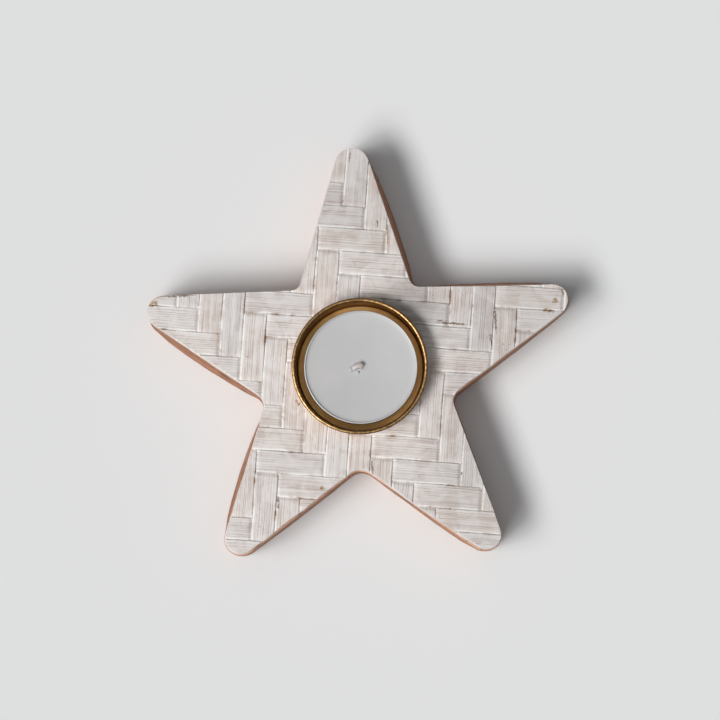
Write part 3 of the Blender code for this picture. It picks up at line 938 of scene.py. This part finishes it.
def make_tealight(aluminium, wax_material_, wick_material_):
    low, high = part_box("tealight_cup")
    centre = ((low + high) / 2).xy
    radius = (high.x - low.x) / 2
    lip = 0.33 * MM
    wall = 0.2 * MM
    side = radius - lip
    inside = side - wall
    floor = low.z + wall
    roll = 0.13 * MM
    profile = [Vector((0.0, floor))]
    profile += arc(Vector((inside - 0.7 * MM, floor + 0.7 * MM)), 0.7 * MM, -math.pi / 2,
                   math.pi / 2, 6)
    profile.append(Vector((inside, high.z - 0.3 * MM)))
    profile += arc(Vector((inside + 0.15 * MM, high.z - 0.15 * MM)), 0.15 * MM, math.pi,
                   -math.pi / 2, 4)
    profile += arc(Vector((radius - roll, high.z - roll)), roll, math.pi / 2, -math.pi, 8)
    profile += [Vector((side + 0.05 * MM, high.z - 2 * roll)), Vector((side, high.z - 0.8 * MM))]
    profile += arc(Vector((side - 1.0 * MM, low.z + 1.0 * MM)), 1.0 * MM, 0.0, -math.pi / 2, 6)
    profile += [Vector((15.0 * MM, low.z)), Vector((14.4 * MM, low.z + 0.35 * MM)),
                Vector((0.0, low.z + 0.35 * MM))]
    # the dished underside needs its floor above it
    profile[0].y = floor + 0.35 * MM
    profile.insert(1, Vector((14.2 * MM, floor + 0.35 * MM)))
    profile.insert(2, Vector((14.9 * MM, floor)))
    cup = turned("aluminium_tealight_cup", profile, aluminium, centre=centre)
    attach(cup, TEALIGHT)
    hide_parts("tealight_cup")

    wax_low, wax_high = (corner.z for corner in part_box("wax"))
    bore = 0.72 * MM
    tab_low, tab_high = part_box("wick_tab")
    tab_radius = (tab_high.x - tab_low.x) / 2 + 0.1 * MM
    tube = 1.45 * MM
    surface = []
    steps = 40
    for step in range(steps + 1):
        r = bore + (inside - bore) * step / steps
        creep = 0.25 * MM * math.exp(-(inside - r) / (0.35 * MM))
        collar = 0.30 * MM * math.exp(-(r - bore) / (0.7 * MM))
        dish = 1.05 * MM * (r / inside) ** 2.3 - 0.25 * MM
        surface.append(Vector((r, wax_high + creep + collar + dish)))
    profile = [Vector((tab_radius, wax_low)), Vector((tab_radius, wax_low + 0.45 * MM)),
               Vector((tube, wax_low + 0.45 * MM)), Vector((tube, tab_high.z + 0.15 * MM)),
               Vector((bore, tab_high.z + 0.15 * MM))]
    profile += surface
    profile += [Vector((inside, wax_low + 1.0 * MM)), Vector((inside - 1.0 * MM, wax_low))]
    wax = turned("poured_wax", profile, wax_material_, centre=centre, closed=True)
    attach(wax, TEALIGHT)
    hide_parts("wax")
    make_wick(centre, wax_high, wick_material_, wax_material_)


# The wick's way over from the tealight's axis at the wax, in millimetres; the last is past
# its end
WICK_KNOTS = ((0.0, 0.0, 0.0), (0.28, 0.8, 0.75), (-0.35, 0.85, 1.0), (-1.6, 0.2, 0.95),
              (-2.9, -0.5, 0.75), (-4.0, -1.0, 0.6))


def spline(knots, part):
    """A point between the middle two of four knots."""
    a, b, c, d = knots
    return ((b * 2) + (c - a) * part + (a * 2 - b * 5 + c * 4 - d) * part ** 2
            + (b * 3 - a - c * 3 + d) * part ** 3) / 2


def make_wick(centre, wax_high, wick_material_, wax_material_):
    """A braided wick that lies over above the wax. Its end was dipped: a bead of wax."""
    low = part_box("wick")[0]
    radius = 0.62 * MM
    path = [Vector((centre.x, centre.y, low.z + (wax_high - low.z) * step / 10))
            for step in range(10)]
    knots = [path[-1]] + [Vector((centre.x + x * MM, centre.y + y * MM, wax_high + z * MM))
                          for x, y, z in WICK_KNOTS]
    for i in range(1, len(knots) - 2):
        path += [spline(knots[i - 1:i + 3], step / 5) for step in range(5)]
    path.append(knots[-2])
    lean = (knots[-2] - knots[-4]).xy
    rings = []
    length = 0.0
    side = Vector((-lean.y, lean.x, 0.0)).normalized()
    for i, point in enumerate(path):
        along = (path[min(i + 1, len(path) - 1)] - path[max(i - 1, 0)]).normalized()
        length += (point - path[i - 1]).length if i else 0.0
        up = side.cross(along).normalized()
        spread = 1.0 + 0.30 * smoothstep(wax_high, wax_high + 0.8 * MM, point.z)
        ring = []
        for step in range(24):
            angle = math.tau * step / 24
            strand = 1.0 + 0.14 * math.cos(3 * (angle - length / (1.1 * MM)))
            r = radius * strand
            ring.append(tuple(point + side * math.cos(angle) * r * spread
                              + up * math.sin(angle) * r))
        rings.append(ring)
    wick = loft("twisted_wick", rings, wick_material_)
    bm = bmesh.new()
    bm.from_mesh(wick.data)
    bmesh.ops.recalc_face_normals(bm, faces=bm.faces)
    bm.to_mesh(wick.data)
    bm.free()
    wick.data.shade_smooth()
    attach(wick, TEALIGHT)
    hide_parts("wick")

    end = path[-1] + Vector((*lean, 0.0)).normalized() * 0.55 * MM
    bead = turned("wax_bead", [Vector((0.0, end.z + 0.62 * MM))]
                  + [Vector((0.74 * MM * math.sin(math.pi * step / 14),
                             end.z + 0.62 * MM * math.cos(math.pi * step / 14)))
                     for step in range(1, 14)]
                  + [Vector((0.0, end.z - 0.62 * MM))], wax_material_, 32, end.xy)
    for vertex in bead.data.vertices:
        lump = noise.noise(vertex.co * 1400)
        vertex.co += (vertex.co - end).normalized() * lump * 0.14 * MM
    drip = turned("wax_drip", [Vector((r * MM, wax_high + h * MM)) for r, h in
                               ((0.0, 0.52), (0.25, 0.47), (0.45, 0.28), (0.6, 0.05),
                                (0.62, -0.5))] + [Vector((0.0, wax_high - 0.5 * MM))],
                  wax_material_, 24, centre + Vector((-1.0, -1.7)) * MM)
    for blob in (bead, drip):
        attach(blob, TEALIGHT)


# ---------------------------------------------------------------- stage

def make_floor(material):
    size = 4.0
    floor = mesh_object("floor", [(-size, -size, 0), (size, -size, 0), (size, size, 0),
                                  (-size, size, 0)], [(0, 1, 2, 3)], material)
    floor.location.z = cad_box[0].z


def add_sun(name, azimuth, elevation, spread, strength):
    """A distant soft lamp. Angles in degrees; azimuth runs anticlockwise from +X."""
    sun = bpy.data.lights.new(name, "SUN")
    sun.energy = strength
    sun.angle = math.radians(spread)
    sun.color = KEY_TINT
    lamp = link(bpy.data.objects.new(name, sun))
    around, up = math.radians(azimuth), math.radians(elevation)
    toward = Vector((math.cos(up) * math.cos(around), math.cos(up) * math.sin(around),
                     math.sin(up)))
    lamp.rotation_mode = "QUATERNION"
    lamp.rotation_quaternion = toward.to_track_quat("Z", "Y")


def make_light():
    """One wide soft box to the lower left, as three lamps side by side, and a studio that
    is bright overhead and dim near the floor."""
    add_sun("key_middle", 208, 53, 20, 1.22)
    add_sun("key_left", 188, 50, 20, 0.62)
    add_sun("key_right", 229, 50, 22, 0.93)

    world = bpy.data.worlds.new("studio")
    world.use_nodes = True
    nodes, links = world.node_tree.nodes, world.node_tree.links
    sky = nodes["Background"]
    sky.inputs["Color"].default_value = SKY_TINT
    direction = nodes.new("ShaderNodeSeparateXYZ")
    links.new(nodes.new("ShaderNodeTexCoord").outputs["Generated"], direction.inputs[0])
    lift = nodes.new("ShaderNodeMath")
    lift.operation = "POWER"
    links.new(direction.outputs[2], lift.inputs[0])
    lift.inputs[1].default_value = SKY_POWER
    level = nodes.new("ShaderNodeMapRange")
    level.inputs["To Min"].default_value = SKY_LOW
    level.inputs["To Max"].default_value = SKY_HIGH
    links.new(lift.outputs[0], level.inputs["Value"])
    links.new(level.outputs[0], sky.inputs["Strength"])
    bpy.context.scene.world = world
    bpy.context.scene.view_settings.view_transform = "Standard"


def make_camera():
    """Nearly straight above, a little towards -Y, on a long lens."""
    target = Vector((0.0, 2.4 * MM, 19.9 * MM))
    place = Vector((16 * MM, -50 * MM, 1020 * MM))
    camera = bpy.data.cameras.new("camera")
    camera.sensor_width = 36.0
    frame_width = 245.7 * MM
    camera.lens = camera.sensor_width * (place - target).length / frame_width
    camera.clip_start = 0.05
    camera.clip_end = 20.0
    holder = link(bpy.data.objects.new("camera", camera))
    holder.location = place
    back = (place - target).normalized()
    right = Vector((0.0, 1.0, 0.0)).cross(back).normalized()
    up = back.cross(right)
    holder.matrix_world = Matrix((
        (right.x, up.x, back.x, place.x),
        (right.y, up.y, back.y, place.y),
        (right.z, up.z, back.z, place.z),
        (0.0, 0.0, 0.0, 1.0)))
    bpy.context.scene.camera = holder


def assign(node, material):
    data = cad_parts[node].data
    data.materials.clear()
    data.materials.append(material)


make_floor(floor_material())
make_light()
make_camera()
make_star_block(wood_material())
make_mat(bamboo_material())
make_brass_cup(brass_material())
make_tealight(aluminium_material(), wax_material(), wick_material())
assign("wick_tab", tin_material())
